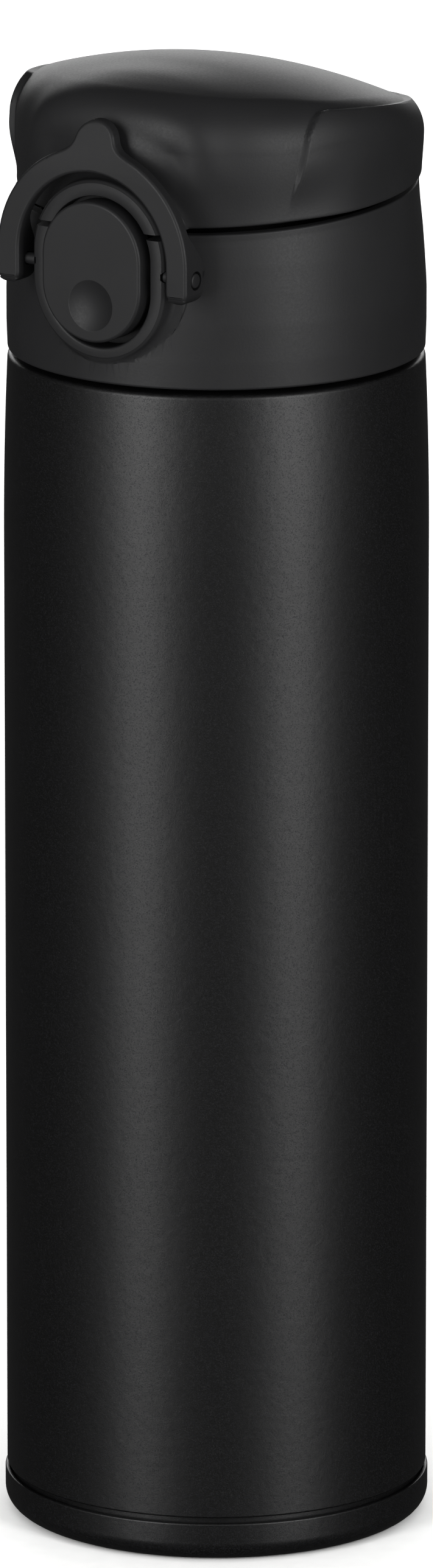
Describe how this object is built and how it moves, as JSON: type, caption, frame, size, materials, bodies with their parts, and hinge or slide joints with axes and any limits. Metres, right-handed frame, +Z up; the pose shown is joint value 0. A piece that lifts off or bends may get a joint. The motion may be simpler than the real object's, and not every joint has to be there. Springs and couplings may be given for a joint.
{
  "type": "vacuum flask",
  "caption": "Slim upright vacuum flask with a one-push hinged lid, a folding lock ring over its front button and a screw-off cap unit with a drinking spout.",
  "frame": {"origin": "the bottle's axis at the face it stands on", "axes": "+Z up along the bottle's axis, -Y towards the push button (front), +X to the right seen from the front"},
  "size_m": [0.0656, 0.0691, 0.23],
  "materials": {
    "powder_paint": "matte black powder coat with a fine sparkling grain",
    "bare_steel": "electropolished stainless steel",
    "foil": "thin bright foil",
    "spring_steel": "drawn stainless spring wire",
    "seal_glass": "fused sealing glass",
    "matte_plastic": "moulded black polypropylene with a fine satin texture",
    "satin_plastic": "moulded black plastic, a little smoother than the cap",
    "inner_plastic": "smooth black polypropylene",
    "silicone": "matte grey silicone rubber"
  },
  "bodies": {
    "bottle": {"outer_shell": "powder_paint", "inner_vessel": "bare_steel", "radiation_foil": "foil", "outer_bottom": "bare_steel", "vacuum_seal": "seal_glass", "getter": "spring_steel", "base_cup": "powder_paint"},
    "gasket": {"spout_gasket": "silicone"},
    "cap": {"cap_base": "matte_plastic", "drinking_spout": "inner_plastic", "hinge_pin": "bare_steel", "lid_spring": "spring_steel", "button_pin": "bare_steel", "button_spring": "spring_steel", "ring_pin_left": "satin_plastic", "ring_pin_right": "satin_plastic"},
    "lid": {"lid_shell": "matte_plastic", "hinge_cover": "satin_plastic", "lid_liner": "inner_plastic", "lid_seal": "silicone"},
    "ring": {"lock_ring": "satin_plastic"},
    "button": {"push_button": "satin_plastic"}
  },
  "joints": [
    {"name": "cap_lift", "type": "slide", "parent": "bottle", "child": "gasket", "axis": [0, 0, 1], "range_m": [0, 0.00605]},
    {"name": "cap_turn", "type": "hinge", "parent": "gasket", "child": "cap", "pos_m": [0, 0, 0.19], "axis": [0, 0, 1], "range_deg": [0, 540]},
    {"name": "lid_hinge", "type": "hinge", "parent": "cap", "child": "lid", "pos_m": [0, 0.0305, 0.209], "axis": [-1, 0, 0], "range_deg": [0, 120], "deforming": ["lid_spring"]},
    {"name": "ring_pivot", "type": "hinge", "parent": "cap", "child": "ring", "pos_m": [0, -0.0318, 0.202], "axis": [1, 0, 0], "range_deg": [0, 160]},
    {"name": "button_press", "type": "hinge", "parent": "cap", "child": "button", "pos_m": [0, -0.0305, 0.203], "axis": [1, 0, 0], "range_deg": [0, 6], "stiffness_Nm_per_rad": 0.15, "springref_deg": -5.73, "deforming": ["button_spring"]}
  ],
  "couplings": [
    {"joint": "cap_lift", "follows": "cap_turn", "m_per_rad": 0.00063662}
  ]
}
